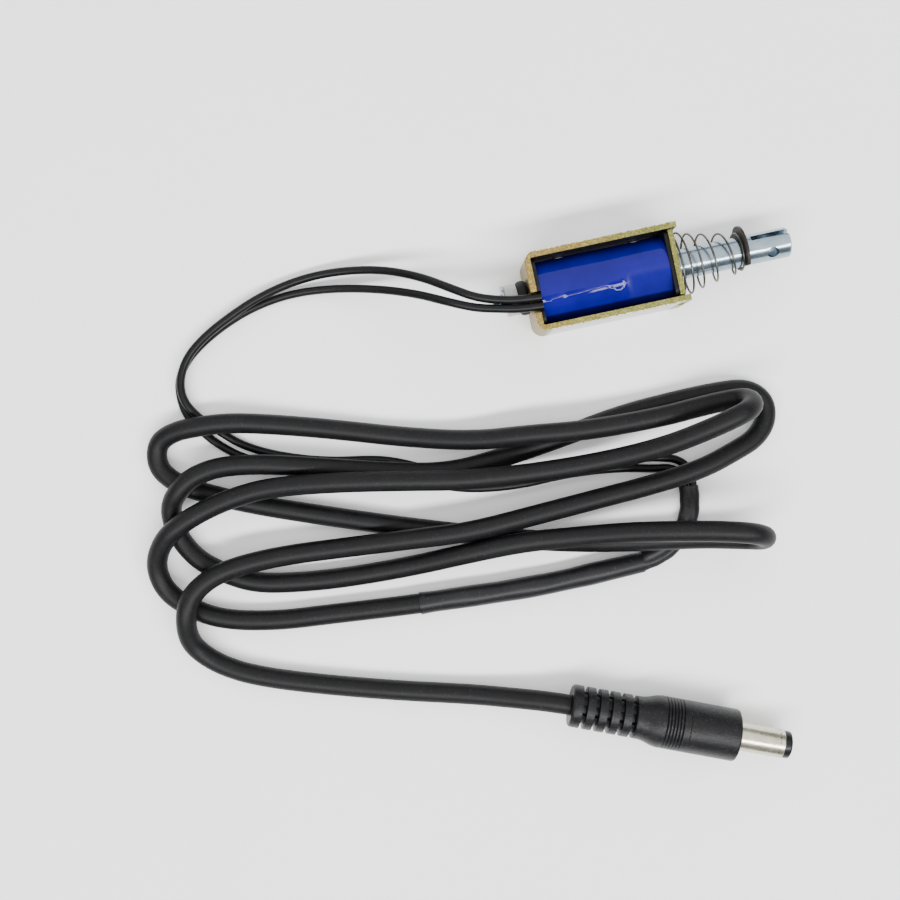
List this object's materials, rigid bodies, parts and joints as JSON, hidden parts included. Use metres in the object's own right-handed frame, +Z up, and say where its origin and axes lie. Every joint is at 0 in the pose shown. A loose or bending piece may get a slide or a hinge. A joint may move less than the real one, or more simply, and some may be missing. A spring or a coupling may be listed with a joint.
{
  "type": "push pull solenoid",
  "caption": "Open-frame push pull solenoid with conical return spring, slotted plunger, rear push rod and a looped lead to a barrel plug.",
  "frame": {"origin": "middle of the frame's plan on its lower rim, which stands on the table", "axes": "+X along the plunger towards its slotted end, +Z up from the table, +Y towards the leg with the two tapped holes"},
  "size_m": [0.1347, 0.1121, 0.0164],
  "materials": {
    "yellow_zinc": "yellow-green zinc passivated steel",
    "bright_zinc": "bright zinc plated",
    "spring_steel": "drawn wire",
    "black_clip": "blackened spring steel",
    "brass_tube": "drawn",
    "soft_iron": "turned",
    "bobbin_black": "moulded nylon",
    "copper_winding": "enamelled copper wire",
    "tape_blue": "polyester tape",
    "rubber_dark": "dull",
    "cushion_pale": "translucent",
    "wire_black": "vinyl insulation",
    "shrink_black": "heat-shrink tube",
    "cable_black": "soft vinyl",
    "plug_black": "moulded vinyl",
    "nickel": "nickel plated",
    "insulator_black": "moulded"
  },
  "bodies": {
    "base_unit": {"frame": "yellow_zinc", "front_plate": "yellow_zinc", "bobbin": "bobbin_black", "coil_winding": "copper_winding", "insulation_tape": "tape_blue", "guide_sleeve": "brass_tube", "fixed_core": "soft_iron", "return_spring": "spring_steel", "lead_wire_a": "wire_black", "lead_wire_b": "wire_black", "lead_sleeve": "shrink_black", "splice_sleeve": "shrink_black", "cable": "cable_black", "strain_relief": "plug_black", "plug_body": "plug_black", "plug_barrel": "nickel", "plug_insulator": "insulator_black", "plug_center_contact": "nickel"},
    "clip_carrier": {"front_clip": "black_clip"},
    "plunger_set": {"plunger": "bright_zinc", "push_rod": "bright_zinc", "bumper_ring": "rubber_dark", "cushion_washer": "cushion_pale", "rear_clip": "bright_zinc"}
  },
  "joints": [
    {"name": "plunger_slide", "type": "slide", "parent": "base_unit", "child": "clip_carrier", "axis": [1, 0, 0], "range_m": [-0.01, 0], "stiffness_N_per_m": 100, "springref_m": 0.004, "deforming": ["return_spring"]},
    {"name": "plunger_spin", "type": "hinge", "parent": "clip_carrier", "child": "plunger_set", "pos_m": [0, 0, 0.0067], "axis": [1, 0, 0], "continuous": true}
  ]
}
